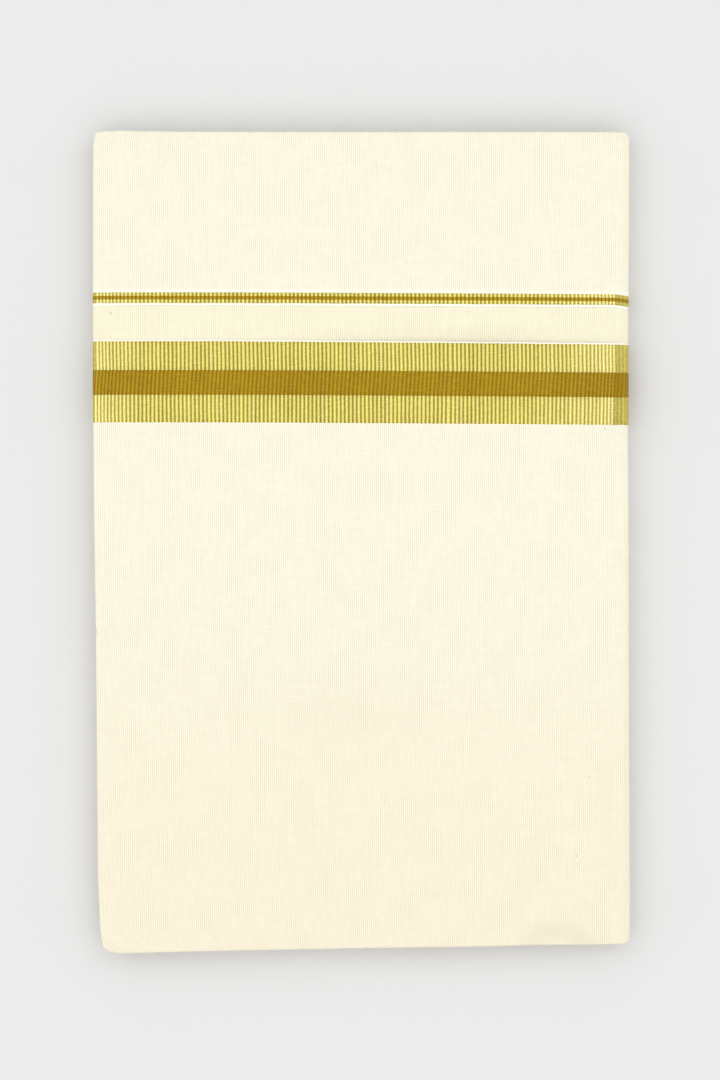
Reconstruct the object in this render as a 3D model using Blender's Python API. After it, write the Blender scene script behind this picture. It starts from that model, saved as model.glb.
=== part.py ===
"""A folded dhoti cloth that lies flat with its face up.

Metres, +Z up. The origin is the middle of the underside. +Y points to the edge of the
upper flap and +X to the spine, the full fold that the outer leaf runs round.

The cloth is folded across its width into a leaf, with two flaps over an inner ply, and
then halved four times along its length. The outer leaf is a wall round the fourteen
leaves inside. It starts at the parting on the left edge, covers the front, turns at the
spine and ends on the underside, and it is made in one piece for each stretch that shows.
"""

from collections import namedtuple
from math import cos, radians, sin, sqrt

import bmesh
import bpy
import numpy as np

MM = 0.001
COLLECTION_NAME = "folded_dhoti"

# The pile
PILE_THICKNESS = 15.0 * MM
WALL_THICKNESS = 1.5 * MM
GAP = 0.3 * MM
HIDDEN_LEAVES = 14

# The front group of eight leaves turns at the left edge, down to the parting
FRONT_FOLD_DEPTH = 3.0 * MM
FRONT_FOLD_HALF = PILE_THICKNESS / 4

# All sixteen leaves turn at the spine
SPINE_DEPTH = 6.5 * MM
SPINE_HALF = PILE_THICKNESS / 2

# The cut end of the outer leaf, on the underside
CUT_END_INSET = 2.0 * MM

# Outline seen from above, in millimetres: the left and right edges at each height
EdgeRow = namedtuple("EdgeRow", "y left right")
EDGE_ROWS = [
    EdgeRow(-192.0, -119.6, 124.8),
    EdgeRow(-188.0, -121.0, 125.0),
    EdgeRow(-181.0, -121.8, 125.4),
    EdgeRow(-172.0, -122.3, 125.4),
    EdgeRow(-153.0, -122.9, 125.3),
    EdgeRow(-102.0, -123.3, 124.9),
    EdgeRow(-41.0, -123.8, 124.7),
    EdgeRow(19.0, -124.7, 124.6),
    EdgeRow(48.0, -124.9, 124.4),
    EdgeRow(66.0, -125.2, 124.8),
    EdgeRow(131.0, -125.2, 124.7),
    EdgeRow(183.0, -125.1, 124.9),
    EdgeRow(192.0, -124.4, 124.3),
]

# Outline seen from above, in millimetres: the top and bottom folds at each place across
EndRow = namedtuple("EndRow", "x top bottom")
END_ROWS = [
    EndRow(-125.0, 190.0, -188.5),
    EndRow(-121.0, 191.6, -190.0),
    EndRow(-117.0, 191.8, -191.1),
    EndRow(-108.0, 191.6, -191.8),
    EndRow(-80.0, 191.2, -190.9),
    EndRow(-5.0, 191.1, -189.6),
    EndRow(70.0, 191.1, -188.3),
    EndRow(107.0, 191.1, -187.8),
    EndRow(121.5, 191.0, -187.2),
    EndRow(124.8, 189.6, -186.2),
]

# Heights of the borders' edges at the left of the front
NARROW_BORDER_TOP = 116.2 * MM
NARROW_BORDER_BOTTOM = 110.0 * MM
WIDE_BORDER_TOP = 93.5 * MM
BROWN_TOP = 80.2 * MM
BROWN_BOTTOM = 68.4 * MM
WIDE_BORDER_BOTTOM = 55.5 * MM

# The borders sink a little towards the spine
SEAM_DROP = 1.25 * MM
SEAM_DROP_START = -75.0 * MM
SEAM_DROP_RUN = 200.0 * MM
SEAM_DROP_POWER = 1.5

# How far each face stands out from the plain flaps
PANEL_LEVEL = -0.5 * MM
BORDER_LEVEL = 0.15 * MM
RIB_HEIGHT = 0.22 * MM

# Ribs of the gold bands over the front, round the left fold and round the spine
FRONT_RIBS = 128
LEFT_FOLD_RIBS = 6
SPINE_RIBS = 12
HALF_RIBS_TO_INSIDE_STEP = 8

# A shallow dent at the right of the bottom fold
DENT_X = 90.0 * MM
DENT_Y = -184.0 * MM
DENT_HALF_WIDTH = 22.0 * MM
DENT_HALF_HEIGHT = 9.0 * MM
DENT_DEPTH = 0.6 * MM

# How finely the outer leaf is divided, as shares of each straight run
FRONT_SHARES = (0.02, 0.06, 0.16, 0.3, 0.45, 0.6, 0.72, 0.8, 0.86, 0.91, 0.96)
BACK_SHARES = (0.06, 0.25, 0.5, 0.75, 0.93, 0.98, 1.0)
LEFT_FOLD_STEPS = 8
SPINE_STEPS = 12
ROW_MARGIN = 2.5 * MM

# A free end of the wall is round: steps from the end and from the face, in half walls
END_ROUNDING = ((0.0, 1.0), (0.3, 0.3), (1.0, 0.0))

# The hidden leaves
RING_SHARES = (0.0, 0.03, 0.08, 0.3, 0.6, 0.8, 0.93, 1.0)
LEAF_PROFILE = ((0.0, 0.45 * MM), (0.25, 0.0), (0.75, 0.0))
MIDDLE_GROUP_LEAVES = 4
LAST_GROUP_LEAVES = 2
MIDDLE_GROUP_INSET = 0.8 * MM
MIDDLE_GROUP_TURN = 1.6 * MM
LAST_GROUP_INSET = 1.5 * MM
LAST_GROUP_TURN = 0.9 * MM
CUT_LEAF_INSET = 2.4 * MM
SIDE_CLEARANCE = 0.15 * MM

# Finishes: colour, roughness and metallic value
Finish = namedtuple("Finish", "colour roughness metallic")
CREAM_COTTON = Finish((0.97, 0.92, 0.76, 1.0), 0.85, 0.0)
GOLD_ZARI = Finish((0.62, 0.54, 0.15, 1.0), 0.45, 0.55)
BRONZE_ZARI = Finish((0.40, 0.25, 0.02, 1.0), 0.5, 0.45)

# A station is a place on the outer leaf's path, tied to the left edge at weight 0 and to
# the right edge at weight 1. Its normal is nx and nz, and a held one adds no inside point.
Station = namedtuple("Station", "weight shift z nx nz crest held")

# A stretch runs across the cloth from the line high to the line low
Stretch = namedtuple("Stretch", "name high low finish level ribbed rounded_top rounded_bottom")


def clear_scene():
    for item in list(bpy.data.objects):
        bpy.data.objects.remove(item, do_unlink=True)


def make_material(name, finish):
    material = bpy.data.materials.new(name)
    material.use_nodes = True
    shader = material.node_tree.nodes["Principled BSDF"]
    shader.inputs["Base Color"].default_value = finish.colour
    shader.inputs["Roughness"].default_value = finish.roughness
    shader.inputs["Metallic"].default_value = finish.metallic
    return material


def read_table(place, rows, key, column):
    """A column's value between the rows of an outline table."""
    keys = [getattr(row, key) for row in rows]
    values = [getattr(row, column) for row in rows]
    return float(np.interp(place / MM, keys, values)) * MM


def left_edge(y):
    return read_table(y, EDGE_ROWS, "y", "left")


def right_edge(y):
    return read_table(y, EDGE_ROWS, "y", "right")


def top_end(x):
    return read_table(x, END_ROWS, "x", "top")


def bottom_end(x):
    return read_table(x, END_ROWS, "x", "bottom")


def seam(height):
    """The line on which two stretches meet, as a height at each place across."""

    def line(x):
        run = max(0.0, (x - SEAM_DROP_START) / SEAM_DROP_RUN)
        return height - SEAM_DROP * run**SEAM_DROP_POWER

    return line


def dent(x, y):
    reach = ((x - DENT_X) / DENT_HALF_WIDTH) ** 2 + ((y - DENT_Y) / DENT_HALF_HEIGHT) ** 2
    return DENT_DEPTH * max(0.0, 1.0 - reach)


def turn_stations(weight, depth, half, middle, start, end, steps, ribbed):
    """Stations round a fold: half an ellipse, as deep as the fold and as high as its leaves."""
    centre = -depth if weight > 0.5 else depth
    stations = []
    for step in range(steps + 1):
        angle = start + (end - start) * step / steps
        across = cos(angle)
        up = sin(angle)
        slope = sqrt((across / depth) ** 2 + (up / half) ** 2)
        stations.append(
            Station(
                weight=weight,
                shift=centre + depth * across,
                z=middle + half * up,
                nx=across / depth / slope,
                nz=up / half / slope,
                crest=ribbed and step % 2 == 1,
                held=ribbed and step % 2 == 1,
            )
        )
    return stations


def front_stations(ribbed):
    """Stations over the front, without its two ends, which the folds give."""
    shares = FRONT_SHARES
    if ribbed:
        count = 2 * FRONT_RIBS
        shares = [step / count for step in range(1, count)]
    stations = []
    for step, share in enumerate(shares, start=1):
        stations.append(
            Station(
                weight=share,
                shift=FRONT_FOLD_DEPTH * (1 - share) - SPINE_DEPTH * share,
                z=PILE_THICKNESS,
                nx=0.0,
                nz=1.0,
                crest=ribbed and step % 2 == 1,
                held=ribbed and step % HALF_RIBS_TO_INSIDE_STEP != 0,
            )
        )
    return stations


def back_stations():
    """Stations along the underside, from the spine to the cut end."""
    stations = []
    for share in BACK_SHARES:
        shift = CUT_END_INSET * share - SPINE_DEPTH * (1 - share)
        stations.append(Station(1 - share, shift, 0.0, 0.0, -1.0, False, False))
    return stations


def leaf_stations(ribbed):
    """The outer leaf's path, from the parting at the left to the cut end below."""
    left_steps = 2 * LEFT_FOLD_RIBS if ribbed else LEFT_FOLD_STEPS
    spine_steps = 2 * SPINE_RIBS if ribbed else SPINE_STEPS
    left_fold = turn_stations(
        0.0,
        FRONT_FOLD_DEPTH,
        FRONT_FOLD_HALF,
        PILE_THICKNESS - FRONT_FOLD_HALF,
        radians(270),
        radians(90),
        left_steps,
        ribbed,
    )
    spine = turn_stations(
        1.0, SPINE_DEPTH, SPINE_HALF, SPINE_HALF, radians(90), radians(-90), spine_steps, ribbed
    )
    return left_fold + front_stations(ribbed) + spine + back_stations()


def station_x(station, y):
    across = left_edge(y) * (1 - station.weight) + right_edge(y) * station.weight
    return across + station.shift


def leaf_point(station, y, level):
    """A point at a station and a height, as far out from the plain face as its level."""
    x = station_x(station, y)
    z = station.z
    if station.nz == 1.0 and level > -WALL_THICKNESS:
        z -= dent(x, y)
    return (x + level * station.nx, y, z + level * station.nz)


def inner_shares(stretch):
    """How far down the stretch each row of points between its two ends lies."""
    high = stretch.high(0.0)
    low = stretch.low(0.0)
    heights = [row.y * MM for row in reversed(EDGE_ROWS)]
    return [
        (high - y) / (high - low) for y in heights if low + ROW_MARGIN < y < high - ROW_MARGIN
    ]


def end_points(station, y, inward, level, deeper):
    """Points round a free end, from the middle of the wall to one of its faces."""
    half = WALL_THICKNESS / 2
    return [
        leaf_point(station, y + inward * half * along, level + deeper * half * down)
        for along, down in END_ROUNDING
    ]


def wall_section(stretch, station, shares):
    """The wall's outer points and its inner points at one station, from high to low."""
    facing = min(1.0, 1.0 + station.nz)
    outside = stretch.level * facing if stretch.level > 0 else stretch.level
    if station.crest:
        outside += RIB_HEIGHT * facing
    high = stretch.high(station_x(station, stretch.high(0.0)))
    low = stretch.low(station_x(station, stretch.low(0.0)))
    if not stretch.rounded_top:
        high -= GAP / 2
    if not stretch.rounded_bottom:
        low += GAP / 2
    section = []
    for level, deeper, skipped in ((outside, -1, 0), (-WALL_THICKNESS, 1, 1)):
        points = [leaf_point(station, high, level)]
        if stretch.rounded_top:
            points = end_points(station, high, -1, level, deeper)[skipped:]
        for share in shares:
            points.append(leaf_point(station, high + (low - high) * share, level))
        if stretch.rounded_bottom:
            points += reversed(end_points(station, low, 1, level, deeper)[skipped:])
        else:
            points.append(leaf_point(station, low, level))
        section.append(points)
    return section


def add_face(bm, corners):
    """One face, without the corners that are the same point as another."""
    kept = list(dict.fromkeys(corners))
    if len(kept) > 2:
        bm.faces.new(kept)


def join_rows(bm, first, second):
    """A band of faces between two closed rows of points."""
    count = len(first)
    for index in range(count):
        after = (index + 1) % count
        add_face(bm, (first[index], first[after], second[after], second[index]))


def cap_row(bm, row):
    """Close a wall's end with a ladder of faces from its outer to its inner points."""
    last = len(row) - 1
    for index in range(last // 2):
        add_face(bm, (row[index], row[index + 1], row[last - index - 1], row[last - index]))


def finish_object(name, bm, finish):
    bmesh.ops.recalc_face_normals(bm, faces=bm.faces)
    mesh = bpy.data.meshes.new(name)
    bm.to_mesh(mesh)
    bm.free()
    mesh.shade_smooth()
    mesh.set_sharp_from_angle(angle=radians(35))
    mesh.materials.append(make_material(name, finish))
    item = bpy.data.objects.new(name, mesh)
    bpy.data.collections[COLLECTION_NAME].objects.link(item)


def make_stretch(stretch):
    """One stretch of the outer leaf, lofted through its sections."""
    shares = inner_shares(stretch)
    bm = bmesh.new()
    rows = []
    inside = []
    for station in leaf_stations(stretch.ribbed):
        outer, inner = wall_section(stretch, station, shares)
        outside = [bm.verts.new(point) for point in outer]
        if not station.held:
            inside = [bm.verts.new(point) for point in reversed(inner)]
        rows.append(outside + inside)
    for first, second in zip(rows, rows[1:]):
        join_rows(bm, first, second)
    cap_row(bm, rows[0])
    cap_row(bm, rows[-1])
    finish_object(stretch.name, bm, stretch.finish)


def half_round(z, low, high):
    """How far a round edge between two heights is set back: 0 at its middle, 1 at its ends."""
    reach = (z - (low + high) / 2) / ((high - low) / 2)
    return 1.0 - sqrt(max(0.0, 1.0 - reach**2))


def hidden_left_inset(z, leaf, floor):
    """How far the hidden leaves stand back from the left edge, group by group."""
    parting = PILE_THICKNESS / 2
    last_low = floor + leaf
    middle_low = last_low + LAST_GROUP_LEAVES * leaf
    if z > parting + floor:
        turn = half_round(z, parting + floor, PILE_THICKNESS - floor)
        return floor + (FRONT_FOLD_DEPTH - floor) * turn
    if z > parting - GAP:
        return FRONT_FOLD_DEPTH + 2 * GAP
    if z > middle_low:
        return MIDDLE_GROUP_INSET + MIDDLE_GROUP_TURN * half_round(z, middle_low, parting - GAP)
    if z > last_low:
        return LAST_GROUP_INSET + LAST_GROUP_TURN * half_round(z, last_low, middle_low)
    return CUT_LEAF_INSET


def hidden_ring(z, left_inset, right_inset, top_inset, bottom_inset):
    """One closed ring round the hidden leaves at a height above the ground."""

    def across(share, y):
        left = left_edge(y) + left_inset + SIDE_CLEARANCE
        right = right_edge(y) - right_inset - SIDE_CLEARANCE
        return left * (1 - share) + right * share

    heights = [row.y * MM for row in EDGE_ROWS[2:-1]]
    ring = []
    for share in RING_SHARES:
        y = bottom_end(across(share, heights[0])) + bottom_inset
        ring.append((across(share, y), y, z))
    for y in heights:
        ring.append((across(1.0, y), y, z))
    for share in reversed(RING_SHARES):
        y = top_end(across(share, heights[-1])) - top_inset
        ring.append((across(share, y), y, z))
    for y in reversed(heights):
        ring.append((across(0.0, y), y, z))
    return ring


def make_hidden_leaves():
    """The leaves inside the pile as one solid, with a groove between each two at its edges."""
    floor = WALL_THICKNESS + GAP
    ceiling = PILE_THICKNESS - floor
    leaf = (ceiling - floor) / HIDDEN_LEAVES
    bm = bmesh.new()
    rows = []
    for number in range(HIDDEN_LEAVES + 1):
        top_back = (0.5 + 0.4 * sin(2.4 * number)) * MM
        bottom_back = (0.6 + 0.5 * sin(1.7 * number + 1.0)) * MM
        profile = LEAF_PROFILE if number < HIDDEN_LEAVES else LEAF_PROFILE[:1]
        for share, groove in profile:
            z = ceiling - leaf * (number + share)
            left_inset = hidden_left_inset(z, leaf, floor)
            right_inset = floor + (SPINE_DEPTH - floor) * half_round(z, floor, ceiling)
            ring = hidden_ring(
                z, left_inset, right_inset, top_back + groove, bottom_back + groove
            )
            rows.append([bm.verts.new(point) for point in ring])
    for first, second in zip(rows, rows[1:]):
        join_rows(bm, first, second)
    bm.faces.new(rows[0])
    bm.faces.new(rows[-1])
    finish_object("hidden_leaves", bm, CREAM_COTTON)


def outer_stretches():
    """The stretches of the outer leaf, from the top fold to the bottom fold."""
    narrow_top = seam(NARROW_BORDER_TOP)
    narrow_bottom = seam(NARROW_BORDER_BOTTOM)
    wide_top = seam(WIDE_BORDER_TOP)
    brown_top = seam(BROWN_TOP)
    brown_bottom = seam(BROWN_BOTTOM)
    wide_bottom = seam(WIDE_BORDER_BOTTOM)
    cream = CREAM_COTTON
    gold = GOLD_ZARI
    raised = BORDER_LEVEL
    return [
        Stretch("upper_flap", top_end, narrow_top, cream, 0.0, False, True, False),
        Stretch("narrow_border", narrow_top, narrow_bottom, gold, raised, False, False, False),
        Stretch("under_panel", narrow_bottom, wide_top, cream, PANEL_LEVEL, False, False, False),
        Stretch("wide_border_upper_gold", wide_top, brown_top, gold, raised, True, False, False),
        Stretch(
            "wide_border_brown", brown_top, brown_bottom, BRONZE_ZARI, raised, False, False, False
        ),
        Stretch(
            "wide_border_lower_gold", brown_bottom, wide_bottom, gold, raised, True, False, False
        ),
        Stretch("lower_flap", wide_bottom, bottom_end, cream, 0.0, False, False, True),
    ]


def main():
    clear_scene()
    collection = bpy.data.collections.new(COLLECTION_NAME)
    bpy.context.scene.collection.children.link(collection)
    make_hidden_leaves()
    for stretch in outer_stretches():
        make_stretch(stretch)


main()
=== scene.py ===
"""The folded dhoti cloth, dressed.

model.glb gives the solids in metres. Every size below is in millimetres, and a mesh is
turned into metres when it is made. +Y points to the top fold of the pile, +X to the
spine, and the underside lies at zero.

The outer leaf is a thin ply that starts in the parting at the left, turns at the left
fold, covers the front, turns at the spine and ends on the underside. It is made in one
sheet for each stretch that shows. All plies under it are one strip in sixteen leaves,
folded as the pile is, so that its layers show at the edges.
"""

import logging
from dataclasses import dataclass, field
from enum import Enum
from math import cos, pi, radians, sin

import bpy
import numpy as np
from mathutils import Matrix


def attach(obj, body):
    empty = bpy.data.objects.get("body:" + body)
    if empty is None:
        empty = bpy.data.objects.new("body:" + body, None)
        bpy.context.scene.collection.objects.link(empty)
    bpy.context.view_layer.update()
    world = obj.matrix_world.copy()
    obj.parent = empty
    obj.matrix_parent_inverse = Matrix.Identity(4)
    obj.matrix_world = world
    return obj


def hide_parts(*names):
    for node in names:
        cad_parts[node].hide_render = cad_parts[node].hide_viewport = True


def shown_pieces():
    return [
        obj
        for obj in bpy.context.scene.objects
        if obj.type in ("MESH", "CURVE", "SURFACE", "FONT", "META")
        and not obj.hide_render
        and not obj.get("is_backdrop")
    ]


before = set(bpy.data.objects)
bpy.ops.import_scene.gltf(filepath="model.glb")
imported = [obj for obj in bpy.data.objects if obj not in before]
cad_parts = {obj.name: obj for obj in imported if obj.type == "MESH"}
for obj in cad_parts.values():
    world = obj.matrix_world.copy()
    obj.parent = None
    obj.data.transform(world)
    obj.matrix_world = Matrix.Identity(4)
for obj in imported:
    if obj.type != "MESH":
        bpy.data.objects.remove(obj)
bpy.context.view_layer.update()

MM = 0.001
BODY = "root"
LOG = logging.getLogger("dhoti")

Array = np.ndarray
Colour = tuple[float, float, float]
Socket = bpy.types.NodeSocket


def ease(share: Array | float) -> Array:
    """Turn a share from 0 to 1 into one that starts and ends softly.

    Args:
        share: any number; it is held between 0 and 1.

    Returns:
        The eased share.
    """
    held = np.clip(share, 0.0, 1.0)
    return held * held * (3.0 - 2.0 * held)


def hump(distance: Array | float, half_width: float) -> Array:
    """A soft hump: 1 at its middle and nearly 0 two half widths away.

    Args:
        distance: how far from the middle, in millimetres.
        half_width: the distance at which about a third is left.

    Returns:
        The height as a share.
    """
    return np.exp(-((np.asarray(distance) / half_width) ** 2))


def smooth_between(place: Array, keys: list[float], values: list[float]) -> Array:
    """Read a table at any place on a smooth curve through its rows.

    Args:
        place: where to read.
        keys: the rows' places, rising.
        values: the rows' values.

    Returns:
        The values at those places.
    """
    key = np.asarray(keys, float)
    value = np.asarray(values, float)
    secant = np.diff(value) / np.diff(key)
    product = secant[:-1] * secant[1:]
    total = secant[:-1] + secant[1:]
    same_way = product > 0
    middle = np.where(same_way, 2 * product / np.where(same_way, total, 1.0), 0.0)
    tangent = np.concatenate([secant[:1], middle, secant[-1:]])
    at = np.clip(place, key[0], key[-1])
    row = np.clip(np.searchsorted(key, at) - 1, 0, len(key) - 2)
    run = key[row + 1] - key[row]
    t = (at - key[row]) / run
    rise = (2 * t**3 - 3 * t**2 + 1) * value[row] + (3 * t**2 - 2 * t**3) * value[row + 1]
    swing = (t**3 - 2 * t**2 + t) * tangent[row] + (t**3 - t**2) * tangent[row + 1]
    return rise + run * swing


@dataclass(frozen=True)
class EdgeRow:
    """The left and right edges of the pile at one height of the page."""

    y: float
    left: float
    right: float


@dataclass(frozen=True)
class EndRow:
    """The top and bottom folds of the pile at one place across."""

    x: float
    top: float
    bottom: float


@dataclass(frozen=True)
class Trough:
    """A soft trough pressed into the pile, or a ridge where its depth is negative."""

    x: float
    y: float
    half_width: float
    half_height: float
    depth: float
    lean: float = 0.0

    def depth_at(self, x: Array, y: Array) -> Array:
        """How deep the trough is at a place."""
        across = x - self.x - self.lean * (y - self.y)
        return self.depth * hump(across, self.half_width) * hump(y - self.y, self.half_height)


@dataclass(frozen=True)
class Ripple:
    """A long, shallow wave of the front, whose crests bend a little."""

    length: float
    phase: float
    bend: float
    bend_length: float

    def at(self, place: Array, beside: Array) -> Array:
        """The wave's height, as a share, at a place along it and beside it."""
        return np.sin(place / self.length + self.phase + self.bend * np.sin(beside / self.bend_length))


@dataclass
class PileShape:
    """The outline of the pile, its thickness and the way it has settled."""

    thickness: float = 15.0
    edge_rows: tuple[EdgeRow, ...] = (
        EdgeRow(-192.0, -119.5, 124.95),
        EdgeRow(-187.4, -120.9, 125.25),
        EdgeRow(-180.3, -121.85, 125.45),
        EdgeRow(-171.0, -122.2, 125.45),
        EdgeRow(-153.0, -122.9, 125.4),
        EdgeRow(-102.0, -123.3, 125.15),
        EdgeRow(-41.0, -123.85, 124.95),
        EdgeRow(19.0, -124.7, 124.85),
        EdgeRow(48.0, -124.95, 124.6),
        EdgeRow(66.0, -125.2, 124.8),
        EdgeRow(110.0, -125.2, 124.8),
        EdgeRow(131.0, -125.15, 124.95),
        EdgeRow(183.0, -125.05, 125.2),
        EdgeRow(189.5, -124.35, 125.15),
        EdgeRow(192.0, -123.6, 124.85),
    )
    end_rows: tuple[EndRow, ...] = (
        EndRow(-125.2, 189.0, -188.0),
        EndRow(-124.3, 189.9, -188.5),
        EndRow(-123.2, 191.0, -189.0),
        EndRow(-120.0, 191.2, -190.0),
        EndRow(-116.5, 191.35, -191.3),
        EndRow(-112.3, 191.5, -191.9),
        EndRow(-103.6, 191.2, -191.65),
        EndRow(-80.0, 190.9, -191.0),
        EndRow(-5.0, 190.8, -189.6),
        EndRow(60.0, 190.8, -188.6),
        EndRow(85.0, 190.8, -187.95),
        EndRow(105.0, 190.75, -187.8),
        EndRow(121.5, 190.75, -187.45),
        EndRow(123.6, 190.4, -187.1),
        EndRow(125.2, 188.9, -185.7),
    )
    left_fold_depth: float = 2.3
    spine_depth: float = 3.6
    left_drop: float = 1.4
    left_run: float = 13.0
    spine_drop: float = 0.5
    spine_run: float = 16.0
    end_drop: float = 0.5
    end_run: float = 9.0
    wave: float = 0.22
    wave_across: Ripple = Ripple(31.0, 0.7, 0.4, 53.0)
    wave_up: Ripple = Ripple(44.0, -0.9, 0.6, 47.0)
    notch_y: float = -42.6
    notch_depth: float = 0.45
    notch_half: float = 1.3
    troughs: tuple[Trough, ...] = (
        Trough(x=50.0, y=96.6, half_width=58.0, half_height=3.4, depth=1.15),
        Trough(x=-40.0, y=96.2, half_width=34.0, half_height=2.6, depth=0.3),
        Trough(x=41.6, y=74.0, half_width=0.9, half_height=20.0, depth=0.16),
        Trough(x=104.0, y=-180.0, half_width=6.0, half_height=11.0, depth=0.55, lean=-0.5),
        Trough(x=84.0, y=-183.0, half_width=11.0, half_height=4.0, depth=0.42, lean=0.3),
        Trough(x=-6.0, y=-81.0, half_width=30.0, half_height=8.0, depth=0.3, lean=0.6),
        Trough(x=-52.0, y=32.0, half_width=4.0, half_height=46.0, depth=0.1, lean=0.03),
        Trough(x=66.0, y=-38.0, half_width=5.5, half_height=58.0, depth=0.12, lean=-0.05),
        Trough(x=20.0, y=150.0, half_width=70.0, half_height=7.0, depth=0.12),
        Trough(x=-88.0, y=-128.0, half_width=26.0, half_height=6.0, depth=0.16, lean=-0.4),
    )

    def left(self, y: Array) -> Array:
        """The left edge at each height, with the small notch of a lifted thread."""
        edge = smooth_between(y, [row.y for row in self.edge_rows], [row.left for row in self.edge_rows])
        return edge + self.notch_depth * hump(y - self.notch_y, self.notch_half)

    def right(self, y: Array) -> Array:
        """The right edge at each height."""
        return smooth_between(y, [row.y for row in self.edge_rows], [row.right for row in self.edge_rows])

    def top(self, x: Array) -> Array:
        """The top fold at each place across."""
        return smooth_between(x, [row.x for row in self.end_rows], [row.top for row in self.end_rows])

    def bottom(self, x: Array) -> Array:
        """The bottom fold at each place across."""
        return smooth_between(x, [row.x for row in self.end_rows], [row.bottom for row in self.end_rows])

    def across(self, weight: Array, shift: Array, y: Array) -> Array:
        """The place across that is tied to both edges.

        Args:
            weight: 0 at the left edge and 1 at the right edge.
            shift: how far it lies from that place, to the right.
            y: the height on the page.

        Returns:
            The place across.
        """
        return self.left(y) * (1 - weight) + self.right(y) * weight + shift

    def sag(self, x: Array, y: Array) -> Array:
        """How far the front has sunk below the flat pile.

        Args:
            x: the place across.
            y: the height on the page.

        Returns:
            The depth in millimetres.
        """
        left_share = np.clip((self.left(y) + self.left_run - x) / self.left_run, 0.0, 1.0)
        spine_share = np.clip((x - self.right(y) + self.spine_run) / self.spine_run, 0.0, 1.0)
        top_share = np.clip((y - self.top(x) + self.end_run) / self.end_run, 0.0, 1.0)
        bottom_share = np.clip((self.bottom(x) + self.end_run - y) / self.end_run, 0.0, 1.0)
        depth = self.left_drop * left_share**2 + self.spine_drop * spine_share**2
        depth = depth + self.end_drop * (top_share**2 + bottom_share**2)
        depth = depth + self.wave * (1.0 + self.wave_across.at(x, y))
        depth = depth + self.wave * (1.0 + self.wave_up.at(y, x))
        for trough in self.troughs:
            depth = depth + trough.depth_at(x, y)
        return depth

    def settle(self, x: Array, y: Array, z: Array) -> Array:
        """Let points of the flat pile sink with it; the underside stays where it is.

        Args:
            x: the places across.
            y: the heights on the page.
            z: the heights above the ground.

        Returns:
            The points, with a last axis of three.
        """
        share = 1.0 - self.sag(x, y) / self.thickness
        return np.stack(np.broadcast_arrays(x, y, z * share), axis=-1)


class Path:
    """A way along which a ply or a strip of leaves is laid, seen from the bottom fold.

    Each stop has a weight between the two edges, a shift, a height and a normal.
    """

    REFERENCE_Y = 75.0
    RUN_STEPS = 260
    TURN_STEPS = 40
    LEAST = 1e-6

    def __init__(self, pile: PileShape) -> None:
        """Start an empty path.

        Args:
            pile: the pile that the path belongs to.
        """
        self.pile = pile
        self.stops: list[tuple[float, float, float, float, float]] = []
        self.marks: dict[str, int] = {}
        self.table = np.zeros((0, 5))
        self.length = np.zeros(0)

    def mark(self, name: str) -> None:
        """Remember the place that the path has reached under a name."""
        self.marks[name] = max(0, len(self.stops) - 1)

    def run(self, start: tuple[float, float], end: tuple[float, float], z: float) -> None:
        """Add a straight run; its outer face looks up where it goes right, or else down.

        Args:
            start: weight and shift where it starts.
            end: weight and shift where it ends.
            z: its height above the ground.
        """
        facing = 1.0 if end > start else -1.0
        for step in range(1, self.RUN_STEPS):
            share = step / self.RUN_STEPS
            weight = start[0] + (end[0] - start[0]) * share
            shift = start[1] + (end[1] - start[1]) * share
            self.stops.append((weight, shift, z, 0.0, facing))

    def turn(self, weight: float, centre: float, middle: float, depth: float, half: float,
             level: float, start: float, end: float) -> None:
        """Add a fold: half an ellipse, or a curve that keeps its distance from one.

        Args:
            weight: 0 at the left edge and 1 at the right edge.
            centre: the ellipse's middle, as a shift from that edge.
            middle: the height of the ellipse's middle.
            depth: its reach across.
            half: half its height.
            level: how far outside the ellipse the path lies.
            start: the angle where it starts, in degrees.
            end: the angle where it ends, in degrees.
        """
        side = 1.0 if end < start else -1.0
        for step in range(self.TURN_STEPS + 1):
            angle = radians(start + (end - start) * step / self.TURN_STEPS)
            slope = ((cos(angle) / depth) ** 2 + (sin(angle) / half) ** 2) ** 0.5
            nx = cos(angle) / depth / slope
            nz = sin(angle) / half / slope
            shift = centre + depth * cos(angle) + level * nx
            z = middle + half * sin(angle) + level * nz
            self.stops.append((weight, shift, z, side * nx, side * nz))

    def close(self) -> None:
        """Measure the path's length at each stop, on the settled pile."""
        self.table = np.array(self.stops)
        weight, shift, z = self.table[:, 0], self.table[:, 1], self.table[:, 2]
        y = np.full(len(weight), self.REFERENCE_Y)
        places = self.pile.settle(self.pile.across(weight, shift, y), y, z)
        steps = np.linalg.norm(np.diff(places, axis=0), axis=1)
        self.length = np.concatenate([[0.0], np.cumsum(np.maximum(steps, self.LEAST))])

    def where(self, name: str) -> float:
        """The length at which a marked place lies."""
        return float(self.length[self.marks[name]])

    def points(self, length: Array, y: Array, level: Array) -> Array:
        """Points of a surface that is laid along the path.

        Args:
            length: how far along the path.
            y: the heights on the page.
            level: how far outside the path.

        Returns:
            The settled points, with a last axis of three.
        """
        weight, shift, z, nx, nz = (np.interp(length, self.length, column) for column in self.table.T)
        size = np.maximum(np.hypot(nx, nz), self.LEAST)
        x = self.pile.across(weight, shift, y) + level * nx / size
        return self.pile.settle(x, y, np.maximum(z + level * nz / size, 0.0))

    def x_at(self, length: Array, y: float) -> Array:
        """The place across at each length.

        Args:
            length: how far along the path.
            y: the height on the page.

        Returns:
            The places across.
        """
        weight = np.interp(length, self.length, self.table[:, 0])
        shift = np.interp(length, self.length, self.table[:, 1])
        return self.pile.across(weight, shift, np.full(np.shape(weight), y))


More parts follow.
